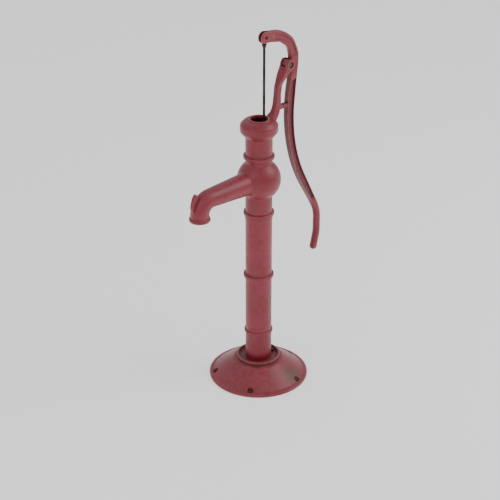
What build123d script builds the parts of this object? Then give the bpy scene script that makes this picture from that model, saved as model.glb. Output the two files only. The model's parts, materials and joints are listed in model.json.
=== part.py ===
from build123d import *
import os
from math import cos, radians, sin

# Hand well pump: a cast column on a bell foot, a bulbed head with a down-turned spout,
# a cap that carries the lever's fork, a hooked lever, and the lift pump inside it.
# Millimetres. Origin at the centre of the foot's bottom face, +Z up, +X towards the
# lever, -X towards the spout. Y = 0 is the pump's plane of symmetry.
# Corners are written as (across, up, corner radius).

# ---- driving dimensions ----
COLUMN_R = 49.0  # outside of every plain stretch of column
BORE_R = 42.0  # inside of the stand, the head and the neck
LINER_R = 37.5  # bore that the plunger runs in
FOOT_R = 187.0
BOLT_CIRCLE_R = 168.0
BOLT_COUNT = 5
BOLT_HOLE_R = 7.0

SOCKET_FLOOR_Z = 34.0  # the column stands here, inside the foot
DISH_Z = 76.0  # floor of the dish round the column
LOCK_RHO, LOCK_ANGLE = 60.5, -13.0  # bolt in the dish that locks the column
LOCK_X = LOCK_RHO * cos(radians(LOCK_ANGLE))
LOCK_Y = LOCK_RHO * sin(radians(LOCK_ANGLE))
BARREL_Z = 421.0  # joint between the stand and the barrel
HEAD_Z = 677.0  # joint between the barrel and the head
CAP_Z = 984.0  # joint between the head's neck and the cap

BULB_Z = 818.0
BULB_R = 80.0
SPOUT_Z = BULB_Z  # axis of the level part of the spout
SPOUT_SPLIT_X = -92.0  # where the spout's node starts, clear of the bulb's fillet
ELBOW_X = -235.0  # where the spout starts to turn down
ELBOW_R = 50.0  # radius of the spout's centreline in its elbow
MOUTH_Z = 745.0
MOUTH_R = 34.0
SPOUT_WALL = 6.0

PIVOT_X, PIVOT_Z = 137.0, 1221.0  # lever's fulcrum
PIVOT_PIN_R = 7.0
FORK_HALF = 19.2  # half the fork's width across Y
FORK_GAP_HALF = 10.9  # half the slot between its ears
ARM_HALF = 10.0

TIP_X, TIP_Z = 23.5, 1348.0  # pin at the lever's hooked tip
TIP_PIN_R = 4.0
LEVER_HALF = 11.5
EYE_HALF = 10.5  # lever's cheeks between the ears
GRIP_R = 14.0

ROD_R = 4.75
ROD_LENGTH = 450.0  # tip pin to foot pin
FOOT_PIN_Z = TIP_Z - ROD_LENGTH
FOOT_PIN_R = 4.0
RUNNING = 0.06  # radial clearance of a pin in its hole
FREE = 0.4  # gap between parts that pass each other

PLUNGER_Z = 681.0  # underside of the plunger at the top of its stroke
VALVE_PORT_R = 14.0

os.makedirs("parts", exist_ok=True)


def outline(*corners):
    """Adds to the sketch in hand the closed face through (across, up, radius) corners."""
    with BuildLine() as edge:
        FilletPolyline(
            *[(across, up) for across, up, _ in corners],
            radius=[radius for _, _, radius in corners],
            close=True,
        )
    make_face(edge.line.edges())


def finish(node, name):
    """Labels a finished sub-part and writes it to its own file."""
    node.part.label = name
    export_step(node.part, f"parts/{name}.step")


# ---- base_flange: bell foot with a lipped dish and a socket for the column ----
with BuildPart() as base_flange:
    with BuildSketch(Plane.XZ):
        outline(
            (FOOT_R, 0, 1.5),
            (FOOT_R, 9, 4),
            (172, 12.5, 6),
            (93, 70, 12),
            (77.5, 74.5, 2.5),
            (77.5, 79, 1.2),
            (81, 80, 1.5),
            (81, 86.5, 2.5),
            (74.5, 87, 2.5),
            (71, DISH_Z + 0.5, 3),
            (COLUMN_R + 0.3, DISH_Z, 0),
            (COLUMN_R + 0.3, SOCKET_FLOOR_Z, 0),
            (43, SOCKET_FLOOR_Z, 0.5),
            (43, 26, 1),
            (58, 26, 2),
            (58, 54, 4),
            (80, 61, 6),
            (146, 10, 6),
            (151, 0, 1),
        )
    revolve(axis=Axis.Z)
    with PolarLocations(BOLT_CIRCLE_R, BOLT_COUNT):
        Cylinder(BOLT_HOLE_R, 60, mode=Mode.SUBTRACT)
    with BuildSketch(Plane.XY.offset(11)):
        with PolarLocations(BOLT_CIRCLE_R, BOLT_COUNT):
            Circle(12.5)
    extrude(amount=30, mode=Mode.SUBTRACT)
    with BuildSketch(Plane.XY.offset(DISH_Z - 16)):
        with Locations((LOCK_X, LOCK_Y)):
            Circle(5.1)
    extrude(amount=20, mode=Mode.SUBTRACT)
finish(base_flange, "base_flange")

# ---- column_lock_bolt: hex bolt and washer in the dish ----
lock_seat = Plane((LOCK_X, LOCK_Y, DISH_Z + 0.7))
with BuildPart() as column_lock_bolt:
    with BuildSketch(lock_seat):
        Circle(8.6)
    extrude(amount=2)
    with BuildSketch(lock_seat.offset(2)):
        RegularPolygon(radius=9.2, side_count=6)
    extrude(amount=6.5)
    fillet(column_lock_bolt.faces().sort_by(Axis.Z)[-1].edges(), 1)
    with BuildSketch(lock_seat):
        Circle(5)
    extrude(amount=-14)
finish(column_lock_bolt, "column_lock_bolt")

# ---- stand_column: lower column with its small bead ----
with BuildPart() as stand_column:
    with BuildSketch(Plane.XZ):
        outline(
            (BORE_R, SOCKET_FLOOR_Z, 1),
            (COLUMN_R, SOCKET_FLOOR_Z, 1),
            (COLUMN_R, 186, 1.5),
            (53.5, 187, 3),
            (53.5, 197, 3),
            (COLUMN_R, 198, 1.5),
            (COLUMN_R, BARREL_Z - 2, 1),
            (BORE_R, BARREL_Z - 2, 0.5),
        )
    revolve(axis=Axis.Z)
finish(stand_column, "stand_column")

# ---- suction pipe and its threaded socket, up the middle of the stand ----
PIPE_R, PIPE_BORE_R = 21.2, 18.0
SOCKET_THREAD_R = 19.5
PIPE_FOOT_Z = 29.5
SEAT_BOSS_Z = BARREL_Z - 22
with BuildPart() as suction_pipe:
    with BuildSketch(Plane.XZ):
        outline(
            (PIPE_BORE_R, PIPE_FOOT_Z, 0.5),
            (PIPE_R, PIPE_FOOT_Z, 0.5),
            (PIPE_R, BARREL_Z - 2, 0.5),
            (PIPE_BORE_R, BARREL_Z - 2, 0.5),
        )
    revolve(axis=Axis.Z)
finish(suction_pipe, "suction_pipe")

with BuildPart() as suction_coupling:
    with BuildSketch(Plane.XZ):
        outline(
            (SOCKET_THREAD_R, 3, 0),
            (27, 3, 2),
            (27, 55, 2),
            (PIPE_R + 0.15, 55, 0),
            (PIPE_R + 0.15, PIPE_FOOT_Z, 0),
            (SOCKET_THREAD_R, PIPE_FOOT_Z, 0),
        )
    revolve(axis=Axis.Z)
finish(suction_coupling, "suction_coupling")


# ---- gaskets between the castings ----
def gasket(inner_r, outer_r, top_z):
    """A flat ring two millimetres thick under top_z."""
    with BuildPart() as ring:
        with BuildSketch(Plane.XY.offset(top_z - 2)):
            Circle(outer_r)
            Circle(inner_r, mode=Mode.SUBTRACT)
        extrude(amount=2)
    return ring


lower_gasket = gasket(42.3, 48.2, BARREL_Z)
finish(lower_gasket, "lower_gasket")
upper_gasket = gasket(45.3, 49.8, HEAD_Z)
finish(upper_gasket, "upper_gasket")
cap_gasket = gasket(45.4, 49.4, CAP_Z)
finish(cap_gasket, "cap_gasket")

# ---- barrel: middle column, bead at its foot, spigots top and bottom ----
BARREL_BORE_R = 40.2
VALVE_SEAT_Z = BARREL_Z + 4  # shoulder that the foot valve's seat stands on
SPIGOT_TOP_Z = HEAD_Z + 20
with BuildPart() as barrel:
    with BuildSketch(Plane.XZ):
        outline(
            (36, BARREL_Z - 26, 0.5),
            (BORE_R - 0.3, BARREL_Z - 26, 1.5),
            (BORE_R - 0.3, BARREL_Z, 0),
            (51, BARREL_Z, 1),
            (56.5, BARREL_Z + 2, 3.5),
            (56.5, BARREL_Z + 14, 3.5),
            (COLUMN_R, BARREL_Z + 16, 2),
            (COLUMN_R, HEAD_Z - 15, 1),
            (51, HEAD_Z - 13.5, 0.8),
            (51, HEAD_Z - 2, 0.8),
            (44.8, HEAD_Z - 2, 0),
            (44.8, SPIGOT_TOP_Z, 0.5),
            (BARREL_BORE_R, SPIGOT_TOP_Z, 0),
            (BARREL_BORE_R, VALVE_SEAT_Z, 0),
            (36, VALVE_SEAT_Z, 0),
        )
    revolve(axis=Axis.Z)
finish(barrel, "barrel")

# ---- barrel_liner: smooth bore with a lip on the barrel's spigot ----
LINER_FOOT_Z = VALVE_SEAT_Z + 8
with BuildPart() as barrel_liner:
    with BuildSketch(Plane.XZ):
        outline(
            (LINER_R, LINER_FOOT_Z, 0),
            (40, LINER_FOOT_Z, 0),
            (40, SPIGOT_TOP_Z, 0),
            (43.6, SPIGOT_TOP_Z, 0),
            (43.6, SPIGOT_TOP_Z + 2.5, 0.5),
            (LINER_R, SPIGOT_TOP_Z + 2.5, 1),
        )
    revolve(axis=Axis.Z)
finish(barrel_liner, "barrel_liner")

# ---- foot valve: seat, clamped edge of its leather, and the flap that swings ----
LIP_Z = LINER_FOOT_Z + 3.5  # the flap lies on the lip round the port
FLAP_T = 3.5
FLAP_HINGE_X = -28.7
TAB_X = -32.2
with BuildPart() as foot_valve_seat:
    with BuildSketch(Plane.XZ):
        outline(
            (PIPE_BORE_R, BARREL_Z - 2, 0),
            (PIPE_R + 0.15, BARREL_Z - 2, 0),
            (PIPE_R + 0.15, SEAT_BOSS_Z, 0.5),
            (28, SEAT_BOSS_Z, 1.5),
            (28, VALVE_SEAT_Z, 1),
            (40, VALVE_SEAT_Z, 0.3),
            (40, LINER_FOOT_Z, 0),
            (23, LINER_FOOT_Z, 0.8),
            (22.5, LIP_Z, 0.5),
            (PIPE_BORE_R, LIP_Z, 0.5),
        )
    revolve(axis=Axis.Z)
    with BuildSketch(Plane.XY.offset(LINER_FOOT_Z)):
        with Locations((TAB_X, 0)):
            Rectangle(4.6, 24)
    extrude(amount=LIP_Z - LINER_FOOT_Z)
    with Locations((TAB_X, -7, LIP_Z), (TAB_X, 7, LIP_Z)):
        Hole(1.6, depth=9)
finish(foot_valve_seat, "foot_valve_seat")

with BuildPart() as flap_tab:
    with BuildSketch(Plane.XY.offset(LIP_Z)):
        with Locations((TAB_X, 0)):
            Rectangle(4.6, 24)
        with Locations((TAB_X, -7), (TAB_X, 7)):
            Circle(1.6, mode=Mode.SUBTRACT)
    extrude(amount=FLAP_T)
finish(flap_tab, "flap_tab")

with BuildPart() as flap_clamp:
    with BuildSketch(Plane.XY.offset(LIP_Z + FLAP_T)):
        with Locations((TAB_X, 0)):
            RectangleRounded(4.6, 24, 1)
        with Locations((TAB_X, -7), (TAB_X, 7)):
            Circle(1.6, mode=Mode.SUBTRACT)
    extrude(amount=2)
finish(flap_clamp, "flap_clamp")

for side, screw_y in (("near", -7), ("far", 7)):
    with BuildPart() as flap_screw:
        with BuildSketch(Plane.XY.offset(LIP_Z + FLAP_T + 2)):
            with Locations((TAB_X, screw_y)):
                Circle(2.3)
        extrude(amount=1.6)
        with BuildSketch(Plane.XY.offset(LIP_Z + FLAP_T + 2)):
            with Locations((TAB_X, screw_y)):
                Circle(1.5)
        extrude(amount=-13)
    finish(flap_screw, f"flap_screw_{side}")

with BuildPart() as foot_valve_flap:
    with BuildSketch(Plane.XY.offset(LIP_Z)):
        Circle(26)
        with Locations((FLAP_HINGE_X / 2 + 0.55, 0)):
            Rectangle(-FLAP_HINGE_X - 1.1, 22)
        Circle(3.1, mode=Mode.SUBTRACT)
    extrude(amount=FLAP_T)
finish(foot_valve_flap, "foot_valve_flap")

with BuildPart() as foot_valve_weight:
    with BuildSketch(Plane.XZ):
        outline(
            (3.1, LIP_Z + FLAP_T, 0),
            (19, LIP_Z + FLAP_T, 0.5),
            (18, LIP_Z + FLAP_T + 10, 3),
            (3.1, LIP_Z + FLAP_T + 11, 0),
        )
    revolve(axis=Axis.Z)
finish(foot_valve_weight, "foot_valve_weight")

with BuildPart() as foot_valve_screw:
    with BuildSketch(Plane.XZ):
        outline(
            (0, LIP_Z - 6, 0),
            (3, LIP_Z - 6, 0.5),
            (3, LIP_Z + FLAP_T + 11, 0),
            (6, LIP_Z + FLAP_T + 11, 0),
            (6, LIP_Z + FLAP_T + 14, 1),
            (0, LIP_Z + FLAP_T + 15, 0),
        )
    revolve(axis=Axis.Z)
finish(foot_valve_screw, "foot_valve_screw")

with BuildPart() as foot_valve_nut:
    with BuildSketch(Plane.XY.offset(LIP_Z)):
        Circle(10)
        Circle(3.1, mode=Mode.SUBTRACT)
    extrude(amount=-1.2)
    with BuildSketch(Plane.XY.offset(LIP_Z - 1.2)):
        RegularPolygon(radius=5.8, side_count=6)
        Circle(3.1, mode=Mode.SUBTRACT)
    extrude(amount=-4)
finish(foot_valve_nut, "foot_valve_nut")


# ---- pump_head, spout and spout_elbow: one hollow casting with the bucket hook, kept as
# three nodes that meet face to face, so that each stays a simple tube for collision ----
MOUTH_X = ELBOW_X - ELBOW_R
MOUTH_AXIS = Axis((MOUTH_X, 0, 0), (0, 0, 1))
SPOUT_ROOT_X = -40.0


def spout(root_r, elbow_r, mouth_r, mouth_z):
    """The spout's level cone, its elbow and its drop as one solid with the given radii."""
    level = Plane(origin=(SPOUT_ROOT_X, 0, SPOUT_Z), x_dir=(0, 1, 0), z_dir=(-1, 0, 0))
    with BuildPart() as tube:
        with BuildSketch(level):
            Circle(root_r)
        with BuildSketch(level.offset(SPOUT_ROOT_X - ELBOW_X)):
            Circle(elbow_r)
        loft()
        with BuildSketch(level.offset(SPOUT_ROOT_X - ELBOW_X)):
            Circle(elbow_r)
        revolve(
            axis=Axis((ELBOW_X, 0, SPOUT_Z - ELBOW_R), (0, -1, 0)), revolution_arc=90
        )
        with BuildSketch(Plane.XY.offset(SPOUT_Z - ELBOW_R)):
            with Locations((MOUTH_X, 0)):
                Circle(elbow_r)
        with BuildSketch(Plane.XY.offset(mouth_z)):
            with Locations((MOUTH_X, 0)):
                Circle(mouth_r)
        loft()
    return tube.part


with BuildPart() as bucket_hook:
    with BuildSketch(Plane.XZ):
        outline(
            (-270, 790, 0),
            (-291.5, 828, 3),
            (-300, 853, 2.5),
            (-306.5, 853, 3),
            (-316, 841, 10),
            (-323, 820, 20),
            (-325.5, 803, 20),
            (-319.3, 772, 0),
            (-290, 772, 0),
        )
    extrude(amount=6, both=True)
    fillet(bucket_hook.faces().filter_by(Axis.Y).edges(), 2.5)

with BuildPart() as head_casting:
    with BuildSketch(Plane.XZ):
        outline(
            (0, HEAD_Z, 0),
            (51, HEAD_Z, 1),
            (56.5, HEAD_Z + 2, 3.5),
            (56.5, HEAD_Z + 14, 3.5),
            (COLUMN_R, HEAD_Z + 16, 2),
            (COLUMN_R, 900, 1.5),
            (57, 902, 3.5),
            (57, 914, 3.5),
            (COLUMN_R, 916, 1.5),
            (COLUMN_R, CAP_Z - 2, 0.5),
            (45.2, CAP_Z - 2, 0),
            (45.2, CAP_Z + 12, 0.8),
            (0, CAP_Z + 12, 0),
        )
    revolve(axis=Axis.Z)
    with Locations((0, 0, BULB_Z)):
        Sphere(BULB_R)
    bulb_roots = [
        edge
        for edge in head_casting.edges().filter_by(GeomType.CIRCLE)
        if abs(edge.radius - COLUMN_R) < 0.01 and 740 < edge.center().Z < 895
    ]
    fillet(bulb_roots, 9)
    add(spout(43.9, 34.5, MOUTH_R, MOUTH_Z + 5))
    spout_root = [
        edge
        for edge in head_casting.edges()
        if -80 < edge.center().X < -55 and edge.length > 200
    ]
    fillet(spout_root, 12)
    with BuildSketch(Plane((MOUTH_X, 0, 0), x_dir=(1, 0, 0), z_dir=(0, -1, 0))):
        outline(
            (0, MOUTH_Z, 0),
            (36, MOUTH_Z, 3),
            (39, MOUTH_Z + 5, 3.5),
            (37.5, MOUTH_Z + 13, 3),
            (MOUTH_R - 0.2, MOUTH_Z + 15, 0),
            (0, MOUTH_Z + 15, 0),
        )
    revolve(axis=MOUTH_AXIS)
    add(bucket_hook.part)
    add(
        spout(
            43.9 - SPOUT_WALL,
            34.5 - SPOUT_WALL,
            MOUTH_R - SPOUT_WALL,
            MOUTH_Z - 1,
        ),
        mode=Mode.SUBTRACT,
    )
    with Locations((0, 0, BULB_Z)):
        Sphere(BULB_R - 7, mode=Mode.SUBTRACT)
    with BuildSketch(Plane.XZ):
        outline(
            (0, HEAD_Z - 1, 0),
            (45, HEAD_Z - 1, 0),
            (45, SPIGOT_TOP_Z + 3, 0),
            (BORE_R, SPIGOT_TOP_Z + 3, 0),
            (BORE_R, CAP_Z + 14, 0),
            (0, CAP_Z + 14, 0),
        )
    revolve(axis=Axis.Z, mode=Mode.SUBTRACT)

elbow_cut = Plane.YZ.offset(ELBOW_X)
spout_cut = Plane.YZ.offset(SPOUT_SPLIT_X)
with BuildPart() as pump_head:
    add(head_casting.part)
    split(bisect_by=spout_cut, keep=Keep.TOP)
finish(pump_head, "pump_head")

with BuildPart() as level_spout:
    add(head_casting.part)
    split(bisect_by=spout_cut, keep=Keep.BOTTOM)
    split(bisect_by=elbow_cut, keep=Keep.TOP)
finish(level_spout, "spout")

with BuildPart() as spout_elbow:
    add(head_casting.part)
    split(bisect_by=elbow_cut, keep=Keep.BOTTOM)
finish(spout_elbow, "spout_elbow")

# ---- cap_bracket: open cap, leaning arm, fork and stop lug in one casting ----
HOLE_R = 31.0
CAP_TOP_Z = 1052.0
LUG_Z, LUG_TALL = 1068.5, 15.0
LUG_X = 112.0
RECESS, RECESS_R = 4.5, 11.5  # pocket in the near ear for the pin's head
EAR_R = 20.5
with BuildPart() as arm:
    with BuildSketch(Plane.XZ):
        outline(
            (36, 1036, 0),
            (47, 1049, 0),
            (62, 1056, 16),
            (71, 1083, 30),
            (75.5, 1118, 60),
            (79, 1150, 25),
            (100, 1186, 30),
            (117, 1222, 0),
            (PIVOT_X, PIVOT_Z, 0),
            (151, 1208, 0),
            (126, 1187, 14),
            (106.5, 1156, 20),
            (100.3, 1122, 40),
            (101, 1082, 20),
            (93, 1058, 14),
            (72, 1034, 0),
            (60, 1026, 0),
        )
        with Locations((PIVOT_X, PIVOT_Z)):
            Circle(EAR_R)
    extrude(amount=FORK_HALF, both=True)
    with BuildSketch(Plane.YZ):
        outline(
            (-ARM_HALF, 1020, 0),
            (ARM_HALF, 1020, 0),
            (ARM_HALF, 1150, 25),
            (FORK_HALF, 1186, 25),
            (FORK_HALF, 1260, 0),
            (-FORK_HALF, 1260, 0),
            (-FORK_HALF, 1186, 25),
            (-ARM_HALF, 1150, 25),
        )
    extrude(amount=200, mode=Mode.INTERSECT)

with BuildPart() as cap_bracket:
    with BuildSketch(Plane.XZ):
        outline(
            (0, CAP_Z, 0),
            (51.5, CAP_Z, 1.5),
            (57, CAP_Z + 7, 6),
            (68.5, 1006, 12),
            (68.5, 1031, 13),
            (54, 1045, 8),
            (40, 1047.5, 2),
            (38.5, CAP_TOP_Z, 2),
            (0, CAP_TOP_Z, 0),
        )
    revolve(axis=Axis.Z)
    add(arm.part)
    with BuildSketch(Plane.XZ):
        outline(
            (92, LUG_Z - LUG_TALL / 2, 0),
            (LUG_X, LUG_Z - LUG_TALL / 2, 3),
            (LUG_X, LUG_Z + LUG_TALL / 2, 3),
            (92, LUG_Z + LUG_TALL / 2, 0),
        )
    extrude(amount=ARM_HALF - 0.5, both=True)
    with BuildSketch(Plane.XZ):
        outline(
            (0, CAP_Z - 1, 0),
            (45.4, CAP_Z - 1, 0),
            (45.4, CAP_Z + 13, 0),
            (59, 1006, 8),
            (59, 1027, 8),
            (46, 1039, 6),
            (HOLE_R, 1041, 1.5),
            (HOLE_R, CAP_TOP_Z + 1, 0),
            (0, CAP_TOP_Z + 1, 0),
        )
    revolve(axis=Axis.Z, mode=Mode.SUBTRACT)
    with BuildSketch(Plane.XZ):
        with Locations((PIVOT_X, PIVOT_Z)):
            Circle(EAR_R + 1.5)
        outline(
            (PIVOT_X - EAR_R - 1.5, PIVOT_Z, 0),
            (PIVOT_X - EAR_R - 1.5, 1260, 0),
            (170, 1260, 0),
            (170, 1150, 0),
            (128, 1150, 0),
            (128, 1203, 0),
        )
    extrude(amount=FORK_GAP_HALF, both=True, mode=Mode.SUBTRACT)
    with BuildSketch(Plane.XZ):
        with Locations((PIVOT_X, PIVOT_Z)):
            Circle(PIVOT_PIN_R + RUNNING)
    extrude(amount=FORK_HALF + 1, both=True, mode=Mode.SUBTRACT)
    with BuildSketch(Plane.XZ.offset(FORK_HALF - RECESS)):
        with Locations((PIVOT_X, PIVOT_Z)):
            Circle(RECESS_R)
    extrude(amount=RECESS + 1, mode=Mode.SUBTRACT)
finish(cap_bracket, "cap_bracket")

# ---- pivot_pin, washer and split pin: the lever's fulcrum ----
HEAD_Y = -(FORK_HALF - RECESS)  # floor of the recess in the near ear
COTTER_Y = FORK_HALF + 6.6
PIN_END_Y = FORK_HALF + 10
pivot_plane = Plane((PIVOT_X, HEAD_Y, PIVOT_Z), x_dir=(1, 0, 0), z_dir=(0, 1, 0))
with BuildPart() as pivot_pin:
    with BuildSketch(pivot_plane):
        Circle(8.2)
    extrude(amount=-1.8)
    with BuildSketch(pivot_plane):
        Circle(PIVOT_PIN_R)
    extrude(amount=PIN_END_Y - HEAD_Y)
    chamfer(pivot_pin.faces().sort_by(Axis.Y)[-1].edges(), 1)
    fillet(pivot_pin.faces().sort_by(Axis.Y)[0].edges(), 1)
    with BuildSketch(Plane.XY.offset(PIVOT_Z - 10)):
        with Locations((PIVOT_X, COTTER_Y)):
            Circle(1.7)
    extrude(amount=20, mode=Mode.SUBTRACT)
finish(pivot_pin, "pivot_pin")

with BuildPart() as pivot_washer:
    with BuildSketch(pivot_plane.offset(FORK_HALF - HEAD_Y + 0.2)):
        Circle(11.5)
        Circle(PIVOT_PIN_R + 0.3, mode=Mode.SUBTRACT)
    extrude(amount=2)
finish(pivot_washer, "pivot_washer")

with BuildPart() as pivot_cotter:
    with BuildSketch(Plane.XY.offset(PIVOT_Z - 12)):
        with Locations((PIVOT_X, COTTER_Y)):
            Circle(1.5)
    extrude(amount=22)
    with Locations(Location((PIVOT_X, COTTER_Y, PIVOT_Z + 13), (0, 90, 0))):
        Torus(2.8, 1.4)
finish(pivot_cotter, "pivot_cotter")

# ---- handle: hooked lever with hollowed sides, round grip and stop pad ----
TIP_R = 22.0
TIP_BOSS_Z = TIP_Z - 1
EYE_R = 16.5
POCKET = 7.0  # depth of the hollows in the lever's straight run
ARCH_POCKET = 3.0
PAD_X = LUG_X + FREE
GRIP_END = (287, 445)
with BuildPart() as handle:
    with BuildSketch(Plane.XZ):
        outline(
            (TIP_X, TIP_BOSS_Z + TIP_R - 0.2, 0),
            (104, 1358, 120),
            (158, 1318, 90),
            (183.5, 1262, 90),
            (183.5, 1235, 110),
            (148, 917, 570),
            (285, 651.5, 6),
            (265, 641, 6),
            (102.8, 911, 610),
            (147.5, 1188.6, 40),
            (146.5, 1245, 60),
            (139, 1283, 40),
            (96, 1315.5, 70),
            (TIP_X + 8, TIP_BOSS_Z - TIP_R + 2.5, 0),
            (TIP_X, TIP_Z, 0),
        )
        with Locations((TIP_X, TIP_BOSS_Z)):
            Circle(TIP_R)
    extrude(amount=LEVER_HALF, both=True)
    fillet(handle.faces().filter_by(Axis.Y).edges(), 3.5)
    with BuildSketch(Plane.XZ):
        outline(
            (PAD_X, LUG_Z - LUG_TALL / 2, 3),
            (140, LUG_Z - LUG_TALL / 2, 0),
            (140, LUG_Z + LUG_TALL / 2, 0),
            (PAD_X, LUG_Z + LUG_TALL / 2, 3),
        )
    extrude(amount=ARM_HALF - 0.5, both=True)
    for side in (1, -1):
        with BuildSketch(Plane.XZ.offset(side * (LEVER_HALF - POCKET))):
            outline(
                (171, 1160, 6),
                (144.2, 916, 573),
                (276, 657, 4),
                (262, 650, 4),
                (106.6, 912, 600),
                (146, 1160, 5),
            )
        extrude(amount=side * (POCKET + 1), mode=Mode.SUBTRACT)
        with BuildSketch(Plane.XZ.offset(side * (LEVER_HALF - ARCH_POCKET))):
            outline(
                (60, 1352, 5),
                (101, 1346, 105),
                (149, 1310.5, 76),
                (171.5, 1264, 25),
                (171.5, 1250, 3),
                (153, 1250, 3),
                (144.5, 1286, 40),
                (98.5, 1321.5, 64),
                (60, 1325.5, 5),
            )
        extrude(amount=side * (ARCH_POCKET + 1), mode=Mode.SUBTRACT)
    with BuildLine(Plane.XZ) as grip_path:
        FilletPolyline((268, 660), (301.5, 594), (301.5, 503), GRIP_END, radius=[140, 150])
    with BuildSketch(grip_path.line ^ 0):
        Circle(GRIP_R)
    sweep()
    with Locations((GRIP_END[0], 0, GRIP_END[1])):
        Sphere(GRIP_R)
    for cheek, depth in ((EYE_HALF, 5), (-EYE_HALF, -5)):
        with BuildSketch(Plane.XZ.offset(cheek)):
            with Locations((PIVOT_X, PIVOT_Z)):
                Circle(EAR_R + 2)
        extrude(amount=depth, mode=Mode.SUBTRACT)
    with BuildSketch(Plane.XZ):
        with Locations((PIVOT_X, PIVOT_Z)):
            Circle(EYE_R)
    extrude(amount=EYE_HALF, both=True)
    with BuildSketch(Plane.XZ):
        with Locations((PIVOT_X, PIVOT_Z)):
            Circle(PIVOT_PIN_R + RUNNING)
        with Locations((TIP_X, TIP_Z)):
            Circle(TIP_PIN_R + RUNNING)
    extrude(amount=LEVER_HALF + 1, both=True, mode=Mode.SUBTRACT)
    with BuildSketch(Plane.XZ):
        with Locations((TIP_X, TIP_Z)):
            Circle(13.5)
        outline(
            (TIP_X - 30, TIP_Z - 30, 0),
            (TIP_X + 6.5, TIP_Z - 30, 0),
            (TIP_X + 14, TIP_Z, 12),
            (TIP_X + 14, TIP_Z + 30, 0),
            (TIP_X - 30, TIP_Z + 30, 0),
        )
    extrude(amount=5.6, both=True, mode=Mode.SUBTRACT)
    for floor, depth in ((LEVER_HALF - 2.5, 5), (2.5 - LEVER_HALF, -5)):
        with BuildSketch(Plane.XZ.offset(floor)):
            with Locations((TIP_X, TIP_Z)):
                Circle(6.5)
        extrude(amount=depth, mode=Mode.SUBTRACT)
finish(handle, "handle")

with BuildPart() as tip_pin:
    with BuildSketch(Plane.XZ):
        with Locations((TIP_X, TIP_Z)):
            Circle(TIP_PIN_R)
    extrude(amount=LEVER_HALF - 1, both=True)
    fillet(tip_pin.faces().filter_by(Axis.Y).edges(), 1)
finish(tip_pin, "tip_pin")

# ---- swinging rod: eye and cone at the tip, long rod, flat foot with its pin ----
CONE_TOP_Z = TIP_Z - 24
ROD_TOP_Z = CONE_TOP_Z - 2
ROD_FOOT_Z = FOOT_PIN_Z + 26
rod_plane = Plane((TIP_X, 0, 0), x_dir=(1, 0, 0), z_dir=(0, -1, 0))
with BuildPart() as rod_head:
    with BuildSketch(Plane.XZ):
        with Locations((TIP_X, TIP_Z)):
            Circle(12)
        with Locations((TIP_X, (TIP_Z + CONE_TOP_Z) / 2 - 4)):
            Rectangle(10, TIP_Z - CONE_TOP_Z)
    extrude(amount=5, both=True)
    with BuildSketch(rod_plane):
        outline(
            (0, CONE_TOP_Z, 0),
            (9.5, CONE_TOP_Z, 2),
            (6.2, CONE_TOP_Z - 13, 1),
            (0, CONE_TOP_Z - 13, 0),
        )
    revolve(axis=Axis((TIP_X, 0, 0), (0, 0, 1)))
    with BuildSketch(Plane.XZ):
        with Locations((TIP_X, TIP_Z)):
            Circle(TIP_PIN_R + RUNNING)
    extrude(amount=6, both=True, mode=Mode.SUBTRACT)
    with BuildSketch(Plane.XY.offset(ROD_TOP_Z)):
        with Locations((TIP_X, 0)):
            Circle(ROD_R)
    extrude(amount=-20, mode=Mode.SUBTRACT)
finish(rod_head, "rod_head")

with BuildPart() as pump_rod:
    with BuildSketch(Plane.XY.offset(ROD_FOOT_Z)):
        with Locations((TIP_X, 0)):
            Circle(ROD_R)
    extrude(amount=ROD_TOP_Z - ROD_FOOT_Z)
finish(pump_rod, "pump_rod")

with BuildPart() as rod_foot:
    with BuildSketch(Plane.XZ):
        with Locations((TIP_X, FOOT_PIN_Z)):
            Circle(8.5)
        with Locations((TIP_X, FOOT_PIN_Z + 13)):
            Rectangle(11, 26)
    extrude(amount=5.5, both=True)
    with BuildSketch(Plane.XY.offset(FOOT_PIN_Z + 25)):
        with Locations((TIP_X, 0)):
            Circle(8)
    extrude(amount=14)
    with BuildSketch(Plane.XY.offset(ROD_FOOT_Z)):
        with Locations((TIP_X, 0)):
            Circle(ROD_R)
    extrude(amount=20, mode=Mode.SUBTRACT)
    with BuildSketch(Plane.XZ):
        with Locations((TIP_X, FOOT_PIN_Z)):
            Circle(FOOT_PIN_R)
    extrude(amount=6, both=True, mode=Mode.SUBTRACT)
finish(rod_foot, "rod_foot")

with BuildPart() as rod_foot_nut:
    with BuildSketch(Plane.XY.offset(FOOT_PIN_Z + 39)):
        with Locations((TIP_X, 0)):
            RegularPolygon(radius=9, side_count=6)
            Circle(ROD_R, mode=Mode.SUBTRACT)
    extrude(amount=6)
finish(rod_foot_nut, "rod_foot_nut")

with BuildPart() as foot_pin:
    with BuildSketch(Plane.XZ):
        with Locations((TIP_X, FOOT_PIN_Z)):
            Circle(FOOT_PIN_R)
    extrude(amount=14.5, both=True)
    for side in (12.3, -14.5):
        with BuildSketch(Plane.XZ.offset(side)):
            with Locations((TIP_X, FOOT_PIN_Z)):
                Circle(6)
        extrude(amount=2.2)
finish(foot_pin, "foot_pin")

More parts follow.
